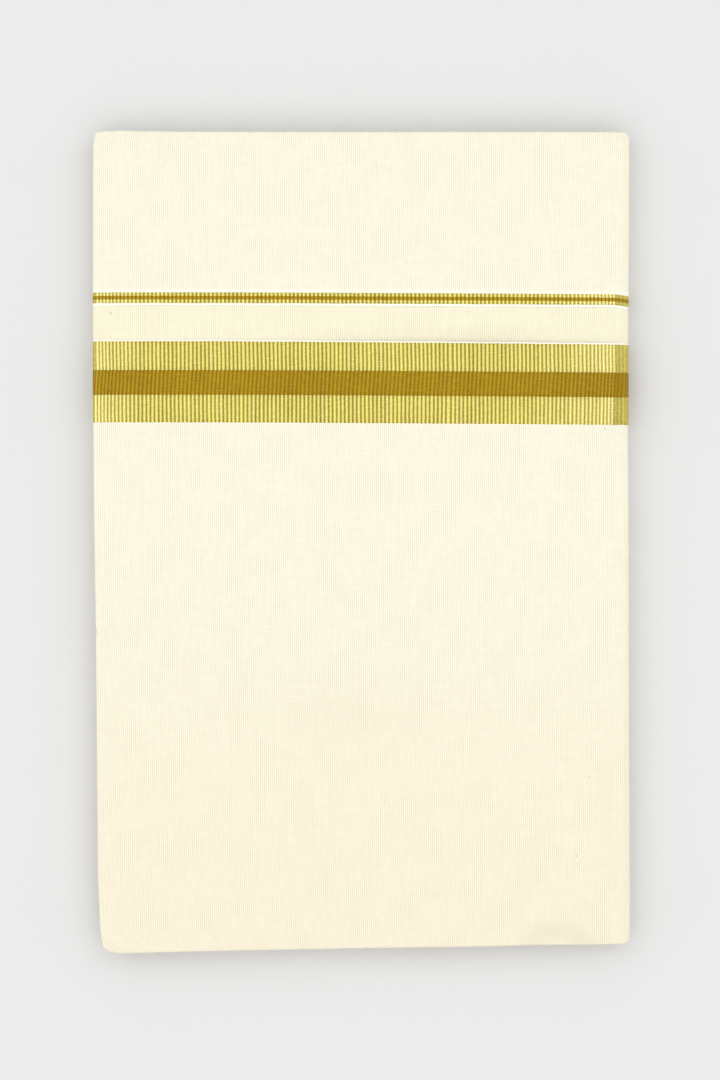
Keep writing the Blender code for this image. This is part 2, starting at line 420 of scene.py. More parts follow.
class OuterPath(Path):
    """The way of the outer ply, from inside the parting at the left to its cut end below."""

    FRONT_STEPS = 2000
    TUCK_COLUMNS = 6
    TURN_COLUMNS = 18
    LIFT_X = 50.0
    LIFT_Y = 90.0
    LIFT_HALF = 70.0

    def __init__(self, pile: PileShape, tuck: float = 6.0, cut_inset: float = 2.0) -> None:
        """Lay out the path.

        Args:
            pile: the pile that the ply goes round.
            tuck: how far the ply reaches into the parting.
            cut_inset: how far the cut end stands back from the left edge.
        """
        super().__init__(pile)
        half = pile.thickness / 2
        fold_depth, spine_depth = pile.left_fold_depth, pile.spine_depth
        self.run((0.0, fold_depth + tuck), (0.0, fold_depth), half)
        self.mark("left fold")
        self.turn(0.0, fold_depth, half * 1.5, fold_depth, half / 2, 0.0, 270.0, 90.0)
        self.mark("front")
        self.run((0.0, fold_depth), (1.0, -spine_depth), pile.thickness)
        self.mark("spine")
        self.turn(1.0, -spine_depth, half, spine_depth, half, 0.0, 90.0, -90.0)
        self.mark("back")
        self.run((1.0, -spine_depth), (0.0, cut_inset), 0.0)
        self.close()

    def length_at(self, x: float, y: float) -> float:
        """The length at which the front passes a place on the page."""
        front = np.linspace(self.where("front"), self.where("spine"), self.FRONT_STEPS)
        return float(np.interp(x, self.x_at(front, y), front))

    def on_front(self, length: Array) -> Array:
        """Whether each length lies on the front."""
        return (length > self.where("front")) & (length < self.where("spine"))

    def lifted(self, length: Array) -> Array:
        """The share by which the wide border's free edge lifts at each length."""
        return hump(self.x_at(length, self.LIFT_Y) - self.LIFT_X, self.LIFT_HALF) * self.on_front(length)

    def columns(self, front: int, back: int) -> Array:
        """Lengths along the path for the columns of a plain sheet.

        Args:
            front: how many columns on the front.
            back: how many on the underside.

        Returns:
            The lengths, rising.
        """
        stops = [0.0, self.where("left fold"), self.where("front"), self.where("spine"),
                 self.where("back"), float(self.length[-1])]
        counts = [self.TUCK_COLUMNS, self.TURN_COLUMNS, front, self.TURN_COLUMNS, back]
        pieces = [np.linspace(a, b, n, endpoint=False) for a, b, n in zip(stops, stops[1:], counts)]
        return np.concatenate([*pieces, stops[-1:]])


class Nodes:
    """Adds nodes to one material and links them."""

    COLOUR_A = 6
    COLOUR_B = 7
    COLOUR_RESULT = 2
    NOISE_ROUGHNESS = 0.6

    def __init__(self, name: str) -> None:
        """Make the material with its shader.

        Args:
            name: the material's name.
        """
        self.material = bpy.data.materials.new(name)
        self.material.use_nodes = True
        self.tree = self.material.node_tree
        self.shader = self.tree.nodes["Principled BSDF"]

    def fill(self, node: bpy.types.Node, inputs: dict[str | int, object]) -> None:
        """Link a node's inputs, or set them where a plain value is given.

        Args:
            node: the node.
            inputs: a value or a socket for each input.
        """
        for key, value in inputs.items():
            if isinstance(value, bpy.types.NodeSocket):
                self.tree.links.new(value, node.inputs[key])
            else:
                node.inputs[key].default_value = value

    def add(self, kind: str, inputs: dict[str | int, object], **settings: object) -> bpy.types.Node:
        """Add a node.

        Args:
            kind: Blender's name for the node.
            inputs: a value or a socket for each input.
            settings: the node's own settings.

        Returns:
            The node.
        """
        node = self.tree.nodes.new(kind)
        for key, value in settings.items():
            setattr(node, key, value)
        self.fill(node, inputs)
        return node

    def math(self, operation: str, a: object, b: object = 0.0, c: object = 0.0) -> Socket:
        """The result of a sum on numbers or sockets."""
        return self.add("ShaderNodeMath", {0: a, 1: b, 2: c}, operation=operation).outputs[0]

    def mix(self, share: object, a: object, b: object) -> Socket:
        """A colour between two others."""
        inputs = {0: share, self.COLOUR_A: a, self.COLOUR_B: b}
        return self.add("ShaderNodeMix", inputs, data_type="RGBA").outputs[self.COLOUR_RESULT]

    def noise(self, place: Socket, scale: tuple[float, float], detail: float = 2.0) -> Socket:
        """Smooth noise from 0 to 1 with a middle of one half.

        Args:
            place: the place on the cloth.
            scale: how fine it is along the cloth and across it.
            detail: how many finer steps it has.

        Returns:
            The noise.
        """
        stretched = self.add("ShaderNodeVectorMath", {0: place, 1: (*scale, 1.0)}, operation="MULTIPLY")
        inputs = {"Vector": stretched.outputs[0], "Scale": 1.0, "Detail": detail,
                  "Roughness": self.NOISE_ROUGHNESS}
        return self.add("ShaderNodeTexNoise", inputs).outputs["Fac"]

    def stir(self, base: object, noise: Socket, weight: float) -> Socket:
        """A value that noise moves up and down."""
        return self.math("MULTIPLY_ADD", self.math("SUBTRACT", noise, 0.5), weight, base)

    def span(self, value: Socket, low: float, high: float, start: float, end: float) -> Socket:
        """A value moved from one range to another, held at its ends."""
        inputs = {0: value, 1: low, 2: high, 3: start, 4: end}
        return self.add("ShaderNodeMapRange", inputs, interpolation_type="SMOOTHSTEP").outputs[0]

    def mark(self, name: str, output: str = "Fac") -> Socket:
        """A value that the mesh carries."""
        return self.add("ShaderNodeAttribute", {}, attribute_name=name).outputs[output]


def linear(red: float, green: float, blue: float) -> tuple[float, float, float, float]:
    """Turn a screen colour from 0 to 255 into the light that it stands for.

    Args:
        red: the red value.
        green: the green value.
        blue: the blue value.

    Returns:
        Red, green, blue and 1, in linear light.
    """
    light = [((value / 255 + 0.055) / 1.055) ** 2.4 for value in (red, green, blue)]
    return (*light, 1.0)


@dataclass(frozen=True)
class Fleck:
    """A tiny fleck of husk caught in the weave of the front."""

    x: float
    y: float
    depth: float
    reach: float = 0.62
    core: float = 0.4


@dataclass(frozen=True)
class ThreadLines:
    """Fine lines of thread that show in soft patches of the cloth."""

    scale: tuple[float, float]
    hidden_below: float
    clear_above: float
    depth: float
    least: float = 0.1
    detail: float = 4.0

    def relief(self, nodes: Nodes, place: Socket, wave: Socket) -> Socket:
        """Let the lines show in patches.

        Args:
            nodes: the material's nodes.
            place: the place on the cloth.
            wave: the lines at full strength.

        Returns:
            The lines as a relief.
        """
        noise = nodes.noise(place, self.scale, self.detail)
        patch = nodes.span(noise, self.hidden_below, self.clear_above, self.least, 1.0)
        return nodes.math("MULTIPLY", wave, nodes.math("MULTIPLY", patch, self.depth))


@dataclass(frozen=True)
class CottonFinish:
    """Plain cream cotton: fine threads, uneven packing, a warmer tone with painted shade towards the lower
    fold, and painted shade beside the wide border and over dents.
    """

    colour: Colour = (233.4, 232.2, 214.1)
    # colour towards the lower fold: a warmer tone with painted shade
    warm_and_shaded: Colour = (231.3, 225.7, 204.6)
    shade: Colour = (204.0, 188.0, 160.0)
    inner: Colour = (232.8, 230.6, 204.9)
    white: Colour = (237.0, 236.0, 225.0)
    # the colour of painted shade, beside the wide border's free edge and in the dents
    painted_shade_tint: Colour = (209.0, 196.0, 174.0)
    husk: Colour = (176.0, 166.0, 126.0)
    thread: float = 0.97
    drift_scale: tuple[float, float] = (0.04, 0.012)
    upright: ThreadLines = ThreadLines((0.07, 0.06), 0.4, 0.62, 0.28)
    crosswise: ThreadLines = ThreadLines((0.06, 0.09), 0.5, 0.66, 0.13)
    slub_scale: tuple[float, float] = (1.9, 0.055)
    slub_depth: float = 0.22
    weft_scale: tuple[float, float] = (0.05, 1.7)
    weft_depth: float = 0.12
    mottle_scale: tuple[float, float] = (0.35, 0.35)
    mottle_depth: float = 0.16
    detail: float = 3.0
    warm_and_shaded_from: float = 40.0
    warm_and_shaded_to: float = -190.0
    dark_from: float = 0.22
    dark_to: float = -0.3
    darkest: float = 0.62
    relief_strength: float = 0.55
    relief_height: float = 0.00012
    roughness: float = 0.86
    roughness_swing: float = 0.06
    slub_swing: float = 0.3
    sheen: float = 0.12
    sheen_roughness: float = 0.6
    specular: float = 0.2
    flecks: tuple[Fleck, ...] = (
        Fleck(-116.7, 106.3, 0.95),
        Fleck(113.4, 52.6, 0.6),
        Fleck(106.1, -109.6, 0.5),
        Fleck(100.1, -146.4, 0.75),
    )

    def flecked(self, nodes: Nodes, place: Socket, path: OuterPath, colour: Socket) -> Socket:
        """Add the flecks of husk to the cloth's colour.

        Args:
            nodes: the material's nodes.
            place: the place on the cloth.
            path: the outer path, which gives the flecks' places on the cloth.
            colour: the colour without them.

        Returns:
            The colour with them.
        """
        share = 0.0
        for fleck in self.flecks:
            centre = (path.length_at(fleck.x, fleck.y), fleck.y, 0.0)
            away = nodes.add("ShaderNodeVectorMath", {0: place, 1: centre}, operation="DISTANCE")
            spot = nodes.span(away.outputs["Value"], fleck.core * fleck.reach, fleck.reach, fleck.depth, 0.0)
            share = nodes.math("MAXIMUM", share, spot)
        return nodes.mix(share, colour, linear(*self.husk))

    def material(self, name: str, path: OuterPath) -> bpy.types.Material:
        """Make the material.

        Args:
            name: its name.
            path: the outer path.

        Returns:
            The material.
        """
        nodes = Nodes(name)
        place = nodes.mark("cloth_place", "Vector")
        along, up, _ = nodes.add("ShaderNodeSeparateXYZ", {0: place}).outputs
        drift = nodes.noise(place, self.drift_scale)
        lines = []
        for way, threads in ((along, self.upright), (up, self.crosswise)):
            angle = nodes.math("MULTIPLY", nodes.math("ADD", way, drift), 2 * pi / self.thread)
            lines.append(threads.relief(nodes, place, nodes.math("SINE", angle)))
        slub = nodes.math("SUBTRACT", nodes.noise(place, self.slub_scale, self.detail), 0.5)
        relief = nodes.math("MULTIPLY_ADD", slub, self.slub_depth, nodes.math("ADD", *lines))
        relief = nodes.stir(relief, nodes.noise(place, self.weft_scale, self.detail), self.weft_depth)
        worn = nodes.stir(relief, nodes.noise(place, self.mottle_scale, self.detail), self.mottle_depth)
        # towards the lower fold the cloth turns warmer and darker: a warmer tone with painted shade
        warm_and_shaded_share = nodes.span(up, self.warm_and_shaded_from, self.warm_and_shaded_to, 0.0, 1.0)
        colour = nodes.mix(warm_and_shaded_share, linear(*self.colour), linear(*self.warm_and_shaded))
        colour = nodes.mix(nodes.mark("inner"), colour, linear(*self.inner))
        dark = nodes.span(worn, self.dark_from, self.dark_to, 0.0, self.darkest)
        colour = nodes.mix(dark, colour, linear(*self.shade))
        # painted shade: beside the wide border's free edge and over the dents
        colour = nodes.mix(nodes.mark("painted_shade"), colour, linear(*self.painted_shade_tint))
        colour = self.flecked(nodes, place, path, colour)
        colour = nodes.mix(nodes.mark("selvedge"), colour, linear(*self.white))
        bump = nodes.add("ShaderNodeBump", {"Strength": self.relief_strength,
                                            "Distance": self.relief_height, "Height": relief})
        rough = nodes.span(slub, -self.slub_swing, self.slub_swing,
                           self.roughness - self.roughness_swing, self.roughness + self.roughness_swing)
        nodes.fill(nodes.shader, {
            "Base Color": colour, "Normal": bump.outputs[0], "Roughness": rough,
            "Sheen Weight": self.sheen, "Sheen Roughness": self.sheen_roughness,
            "Specular IOR Level": self.specular,
        })
        return nodes.material


@dataclass(frozen=True)
class ZariFinish:
    """Metal thread with painted light: a painted highlight on the crest of a rib, painted shade between the
    ribs, and a painted highlight near the folds.
    """

    # painted highlight colour of the crests and painted shade colour of the valleys, then both under the
    # painted highlight near the folds
    crest_highlight: Colour
    valley_shade: Colour
    fold_crest_highlight: Colour
    fold_valley_highlight: Colour
    grain: float
    speck_scale: tuple[float, float] = (1.7, 2.3)
    thread_scale: tuple[float, float] = (0.12, 3.0)
    thread_share: float = 0.5
    wear_scale: tuple[float, float] = (0.022, 0.05)
    wear: float = 0.35
    speck_range: tuple[float, float] = (0.3, 0.7)
    speck_height: float = 0.6
    thread_height: float = 0.5
    relief_strength: float = 0.4
    relief_height: float = 0.0001
    metallic: float = 0.4
    roughness: float = 0.6
    roughness_swing: float = 0.08
    specular: float = 0.2

    def material(self, name: str) -> bpy.types.Material:
        """Make the material.

        Args:
            name: its name.

        Returns:
            The material.
        """
        nodes = Nodes(name)
        place = nodes.mark("cloth_place", "Vector")
        speck = nodes.noise(place, self.speck_scale, 1.0)
        thread = nodes.noise(place, self.thread_scale, 2.0)
        crest = nodes.stir(nodes.mark("crest"), speck, self.grain)
        crest = nodes.stir(crest, thread, self.grain * self.thread_share)
        crest = nodes.stir(crest, nodes.noise(place, self.wear_scale, 3.0), self.wear)
        shown = nodes.add("ShaderNodeClamp", {0: crest}).outputs[0]
        # painted light: highlight on the crests, shade in the valleys, and the painted highlight near the
        # folds
        fold_highlight = nodes.mark("fold_highlight")
        valley = nodes.mix(fold_highlight, linear(*self.valley_shade), linear(*self.fold_valley_highlight))
        ridge = nodes.mix(fold_highlight, linear(*self.crest_highlight), linear(*self.fold_crest_highlight))
        height = nodes.math("ADD", nodes.math("MULTIPLY", speck, self.speck_height),
                            nodes.math("MULTIPLY", thread, self.thread_height))
        bump = nodes.add("ShaderNodeBump", {"Strength": self.relief_strength,
                                            "Distance": self.relief_height, "Height": height})
        rough = nodes.span(speck, *self.speck_range, self.roughness - self.roughness_swing,
                           self.roughness + self.roughness_swing)
        nodes.fill(nodes.shader, {
            "Base Color": nodes.mix(shown, valley, ridge), "Normal": bump.outputs[0], "Roughness": rough,
            "Metallic": self.metallic, "Specular IOR Level": self.specular,
            "Specular Tint": linear(*self.crest_highlight),
        })
        return nodes.material


class Slot(Enum):
    """The record's material slots."""

    CREAM = "cream_cotton"
    GOLD = "gold_zari"
    BRONZE = "bronze_zari"


@dataclass
class Wardrobe:
    """The three finishes, made once, one for each slot."""

    path: OuterPath
    cotton: CottonFinish = field(default_factory=CottonFinish)
    # each metal thread: painted highlight and painted shade colours, and the same under the painted fold
    # highlight
    gold: ZariFinish = ZariFinish(
        crest_highlight=(230.0, 222.5, 120.0), valley_shade=(148.0, 127.0, 63.0),
        fold_crest_highlight=(234.0, 232.0, 164.0), fold_valley_highlight=(176.0, 152.5, 49.0), grain=1.7,
    )
    bronze: ZariFinish = ZariFinish(
        crest_highlight=(177.6, 148.3, 35.5), valley_shade=(131.3, 101.0, 26.5),
        fold_crest_highlight=(176.0, 148.0, 41.0), fold_valley_highlight=(127.0, 97.0, 26.0), grain=2.6,
    )

    def __post_init__(self) -> None:
        """Make the materials."""
        self.materials = {
            Slot.CREAM: self.cotton.material(Slot.CREAM.value, self.path),
            Slot.GOLD: self.gold.material(Slot.GOLD.value),
            Slot.BRONZE: self.bronze.material(Slot.BRONZE.value),
        }


def place_marks(length: Array, y: Array, crest: Array | float = 0.0, selvedge: Array | float = 0.0,
                painted_shade: Array | float = 0.0, inner: Array | float = 0.0,
                fold_highlight: Array | float = 0.0) -> dict[str, Array]:
    """The values that every piece of cloth carries for its finish.

    Args:
        length: how far along the cloth each point lies.
        y: how far across the cloth.
        crest: the painted light of a rib: 1 for the painted highlight on its crest and 0 for the painted
            shade between ribs.
        selvedge: 1 on the white end threads.
        painted_shade: how far painted shade darkens the cloth.
        inner: 1 on cloth that lies between two others and looks yellower.
        fold_highlight: 1 where the painted highlight on the metal thread near the folds is strongest.

    Returns:
        The values by name.
    """
    shape = np.broadcast(length, y).shape
    flat = np.broadcast_to(length, shape), np.broadcast_to(y, shape), np.zeros(shape)
    marks = {"cloth_place": np.stack(flat, axis=-1)}
    for name, value in (("crest", crest), ("selvedge", selvedge), ("painted_shade", painted_shade),
                        ("inner", inner), ("fold_highlight", fold_highlight)):
        marks[name] = np.broadcast_to(value, shape)[..., None]
    return marks


@dataclass
class Tube:
    """A closed tube of cloth with flat ends, which becomes one mesh.

    Its points are columns by ring points by three, in millimetres, and its marks are the
    values of each point by name. Tones number the material of each ring step.
    """

    points: Array
    marks: dict[str, Array]
    tones: Array | None = None
    sharp_angle: float = 60.0

    def faces(self) -> list[list[int]]:
        """The tube's quads and its two ends, all facing outwards.

        Returns:
            The point numbers of each face.
        """
        columns, ring, _ = self.points.shape
        first = np.arange(columns - 1)[:, None] * ring + np.arange(ring)
        after = np.arange(columns - 1)[:, None] * ring + (np.arange(ring) + 1) % ring
        quads = np.stack([first, after, after + ring, first + ring], axis=-1).reshape(-1, 4)
        places = self.points.reshape(-1, 3) - self.points.reshape(-1, 3).mean(0)
        volume = 0.0
        for half in ((0, 1, 2), (0, 2, 3)):
            corner = [places[quads[:, number]] for number in half]
            volume += float((corner[0] * np.cross(corner[1], corner[2])).sum())
        ends = [np.arange(ring)[::-1], np.arange(ring) + (columns - 1) * ring]
        way = -1 if volume < 0 else 1
        return quads[:, ::way].tolist() + [end[::way].tolist() for end in ends]

    def make(self, name: str, materials: list[bpy.types.Material],
             node: str | None = None) -> bpy.types.Object:
        """Make the piece and say what it rides on and the solid it stands for.

        Args:
            name: its name.
            materials: its materials, in the order of their numbers.
            node: the solid that it replaces, if it replaces one.

        Returns:
            The piece, linked to the scene.
        """
        columns, ring, _ = self.points.shape
        mesh = bpy.data.meshes.new(name)
        mesh.from_pydata(self.points.reshape(-1, 3) * MM, [], self.faces())
        for material in materials:
            mesh.materials.append(material)
        tones = np.zeros(ring, int) if self.tones is None else self.tones
        numbers = np.concatenate([np.tile(tones, columns - 1), tones[:1], tones[:1]])
        mesh.polygons.foreach_set("material_index", numbers.tolist())
        for mark, values in self.marks.items():
            kind, key = ("FLOAT_VECTOR", "vector") if values.shape[-1] == 3 else ("FLOAT", "value")
            data = mesh.attributes.new(mark, kind, "POINT").data
            data.foreach_set(key, values.astype(np.float32).ravel())
        mesh.shade_smooth()
        mesh.set_sharp_from_angle(angle=radians(self.sharp_angle))
        mesh.update()
        piece = bpy.data.objects.new(name, mesh)
        bpy.context.scene.collection.objects.link(piece)
        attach(piece, BODY)
        if node is not None:
            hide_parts(node)
        return piece


@dataclass(frozen=True)
class Seam:
    """A line along which two stretches of the cloth meet; it sinks towards the spine."""

    height: float
    drop: float = 1.25
    start: float = -75.0
    run: float = 200.0
    power: float = 1.5
    dip: float = 0.0
    dip_start: float = 117.5
    dip_run: float = 7.0

    def at(self, path: OuterPath, length: Array) -> Array:
        """The line's height at each length of the outer path.

        Args:
            path: the outer path.
            length: how far along it.

        Returns:
            The heights on the page, with the small dip where the cloth turns at the spine.
        """
        x = path.x_at(length, self.height)
        share = np.maximum(0.0, (x - self.start) / self.run)
        dip = self.dip * ease((x - self.dip_start) / self.dip_run)
        return self.height - self.drop * share**self.power - dip


@dataclass
class LeafStack:
    """All leaves under the outer ply: one strip, folded four times over, with sixteen leaves.

    The order in which the strip passes the leaves follows from halving the cloth four
    times: at the spine two leaves join whose numbers sum to seventeen.
    """

    pile: PileShape
    slot: Slot = Slot.CREAM
    wall: float = 1.5
    body_level: float = -0.76
    leaf_half: float = 0.34
    order: tuple[int, ...] = (16, 1, 8, 9, 12, 5, 4, 13, 14, 3, 6, 11, 10, 7, 2, 15)
    parting: float = 0.05
    bend: float = 0.9
    inset: float = 9.5
    cut_insets: dict[int, float] = field(default_factory=lambda: {16: 2.0, 15: 2.5})
    spine_setback: float = 1.98
    spine_step: float = 0.84
    left_setbacks: dict[int, float] = field(
        default_factory=lambda: {2: 1.95, 3: 2.75, 4: 3.55, 9: 1.4, 10: 2.3, 13: 1.75})
    end_setback: float = 0.95
    end_wander: float = 0.42
    end_waves: tuple[float, float] = (88.0, 37.0)
    end_wave_share: float = 0.6
    end_phases: tuple[float, float] = (0.4, 2.9)
    fold_setback: float = 0.9
    fold_setback_start: float = 16.0
    fold_setback_run: float = 8.0
    rows: int = 26
    border_rows: tuple[float, float] = (0.715, 0.79)
    border_count: int = 16
    turn_room: float = 26.0
    shortest_leaf: float = 60.0
    first_share: float = 0.06
    first_columns: int = 5
    leaf_columns: int = 11
    face_columns: int = 60
    turn_columns: int = 20
    edge_steps: int = 7
    panel_thinning: float = 0.94
    panel_start: float = 22.0
    panel_run: float = 6.0

    def height(self, leaf: int) -> float:
        """The height of a leaf's middle.

        Args:
            leaf: its number, counted from the top.

        Returns:
            The height above the ground.
        """
        thickness = self.pile.thickness
        if leaf == 1:
            return thickness + self.body_level
        if leaf == 16:
            return -self.body_level
        half = thickness / 2
        if leaf == 8:
            return half - self.body_level
        if leaf < 8:
            step = (half - 2 * self.wall) / 6
            return thickness - self.wall - step * (leaf - 1.5)
        step = (half - self.wall - self.parting) / 7
        return half - self.parting - step * (leaf - 8.5)

    def spine_turn(self, upper: int, path: Path, downwards: bool) -> None:
        """Join a leaf to its partner below it at the spine.

        Args:
            upper: the upper leaf's number.
            path: the strip's path so far.
            downwards: whether the strip comes from the upper leaf.
        """
        start, end = (90.0, -90.0) if downwards else (-90.0, 90.0)
        if upper == 1:
            reach, half = self.pile.spine_depth, self.pile.thickness / 2
            path.turn(1.0, -reach, half, reach, half, self.body_level, start, end)
            return
        half = (self.height(upper) - self.height(17 - upper)) / 2
        reach = self.spine_setback + self.spine_step * (upper - 2)
        middle = self.height(upper) - half
        path.turn(1.0, -reach - self.bend * half, middle, self.bend * half, half, 0.0, start, end)

    def left_turn(self, first: int, second: int, path: Path) -> None:
        """Join two leaves at the left edge.

        Args:
            first: the leaf that the strip comes from.
            second: the leaf that it goes to.
            path: the strip's path so far.
        """
        upper, lower = min(first, second), max(first, second)
        start, end = (90.0, 270.0) if first == upper else (270.0, 90.0)
        if upper == 1:
            reach, half = self.pile.left_fold_depth, self.pile.thickness / 4
            path.turn(0.0, reach, 3 * half, reach, half, self.body_level, start, end)
            return
        half = (self.height(upper) - self.height(lower)) / 2
        reach = self.left_setbacks[upper] + self.bend * half
        path.turn(0.0, reach, self.height(upper) - half, self.bend * half, half, 0.0, start, end)

    def make_path(self) -> Path:
        """Lay the strip from its cut end below to the other cut end.

        Returns:
            The strip's path.
        """
        path = Path(self.pile)
        for index, leaf in enumerate(self.order):
            rightwards = index % 2 == 0
            start, end = (0.0, self.cut_insets.get(leaf, self.inset)), (1.0, -self.inset)
            if not rightwards:
                start, end = end, start
            path.mark(f"leaf {leaf}")
            path.run(start, end, self.height(leaf))
            if index + 1 == len(self.order):
                break
            partner = self.order[index + 1]
            if rightwards:
                self.spine_turn(min(leaf, partner), path, leaf < partner)
            else:
                self.left_turn(leaf, partner, path)
        path.close()
        return path

    def setback(self, length: Array, path: Path, phase: float) -> Array:
        """How far the strip's folded edge stands back from the pile's end, leaf by leaf.

        Args:
            length: how far along the strip.
            path: the strip's path.
            phase: a number that sets the two edges apart.

        Returns:
            The setback in millimetres.
        """
        slow, fast = self.end_waves
        wander = np.sin(length / slow + phase) + self.end_wave_share * np.sin(length / fast + 2.1 * phase)
        under_fold = ease((path.where("leaf 8") + self.fold_setback_start - length) / self.fold_setback_run)
        return self.end_setback + self.end_wander * wander + self.fold_setback * under_fold

    def columns(self, path: Path) -> Array:
        """Lengths along the strip, close together at its turns.

        Args:
            path: the strip's path.

        Returns:
            The lengths, rising.
        """
        picked: list[float] = []
        names = [f"leaf {leaf}" for leaf in self.order]
        ends = [path.where(name) for name in names[1:]] + [float(path.length[-1])]
        for name, end in zip(names, ends):
            start = path.where(name)
            turning = 1.0 - self.turn_room / max(end - start, self.shortest_leaf)
            middle = self.face_columns if name == "leaf 1" else self.leaf_columns
            shares = np.concatenate([
                np.linspace(0.0, self.first_share, self.first_columns, endpoint=False),
                np.linspace(self.first_share, turning, middle, endpoint=False),
                np.linspace(turning, 1.0, self.turn_columns, endpoint=False),
            ])
            picked += (start + (end - start) * shares).tolist()
        return np.array([*picked, float(path.length[-1])])

    def build(self, wardrobe: Wardrobe) -> bpy.types.Object:
        """Make the strip and let it stand for the solid of the hidden leaves.

        Args:
            wardrobe: the finishes.

        Returns:
            The piece.
        """
        path = self.make_path()
        length = self.columns(path)[:, None]
        even = np.linspace(0.0, 1.0, self.rows)
        close = np.linspace(*self.border_rows, self.border_count)
        shares = np.unique(np.concatenate([(ease(even) + even) / 2, close]))
        x = path.x_at(length[:, 0], 0.0)[:, None]
        high = self.pile.top(x) - self.setback(length, path, self.end_phases[0])
        low = self.pile.bottom(x) + self.setback(length, path, self.end_phases[1])
        angles = np.linspace(0.0, pi, self.edge_steps)[1:-1]
        half = self.leaf_half
        face = low + (high - low - 2 * half) * shares[None, :] + half
        bulge = half * np.sin(angles)[None, :]
        around = np.concatenate([face, high - half + bulge, face[:, ::-1], low + half - bulge], axis=1)
        flat = np.full(len(shares), half)
        rise = np.concatenate([flat, half * np.cos(angles), -flat, -half * np.cos(angles)])[None, :]
        under_panel = ease((path.where("leaf 8") + self.panel_start - length) / self.panel_run)
        rise = np.where(rise < 0, rise * (1.0 - self.panel_thinning * under_panel), rise)
        tube = Tube(path.points(length, around, rise), place_marks(length, around))
        piece = tube.make("leaf_stack", [wardrobe.materials[self.slot]], "hidden_leaves")
        return piece


class Fold(Enum):
    """Which way a plain flap is folded back into the leaf."""

    TOP = 1.0
    BOTTOM = -1.0


@dataclass(frozen=True)
class DentShade:
    """Painted shade of dents: an arch at the lower right corner over the dents pressed there, and a broad,
    faint patch over the shallow trough below the middle.
    """

    arch_middle: tuple[float, float] = (91.5, -190.0)
    arch_reach: tuple[float, float] = (16.0, 10.5)
    arch_radius: float = 0.85
    arch_width: float = 0.42
    arch_depth: float = 0.38
    arch_foot: float = -192.0
    arch_foot_run: float = 3.0
    arch_fade: tuple[float, float] = (93.0, 26.0)
    patch_middle: tuple[float, float] = (-6.0, -81.0)
    patch_half: tuple[float, float] = (36.0, 15.0)
    patch_depth: float = 0.1

    def at(self, x: Array, y: Array) -> Array:
        """How far painted shade darkens the front.

        Args:
            x: the places across.
            y: the heights on the page.

        Returns:
            A share for each place.
        """
        across = (x - self.arch_middle[0]) / self.arch_reach[0]
        up = (y - self.arch_middle[1]) / self.arch_reach[1]
        arch = np.abs(np.hypot(across, up) - self.arch_radius)
        corner = self.arch_depth * hump(arch, self.arch_width)
        corner = corner * ease((y - self.arch_foot) / self.arch_foot_run)
        corner = corner * hump(x - self.arch_fade[0], self.arch_fade[1])
        broad = self.patch_depth * hump(x - self.patch_middle[0], self.patch_half[0])
        broad = broad * hump(y - self.patch_middle[1], self.patch_half[1])
        return np.clip(corner + broad, 0.0, 1.0)


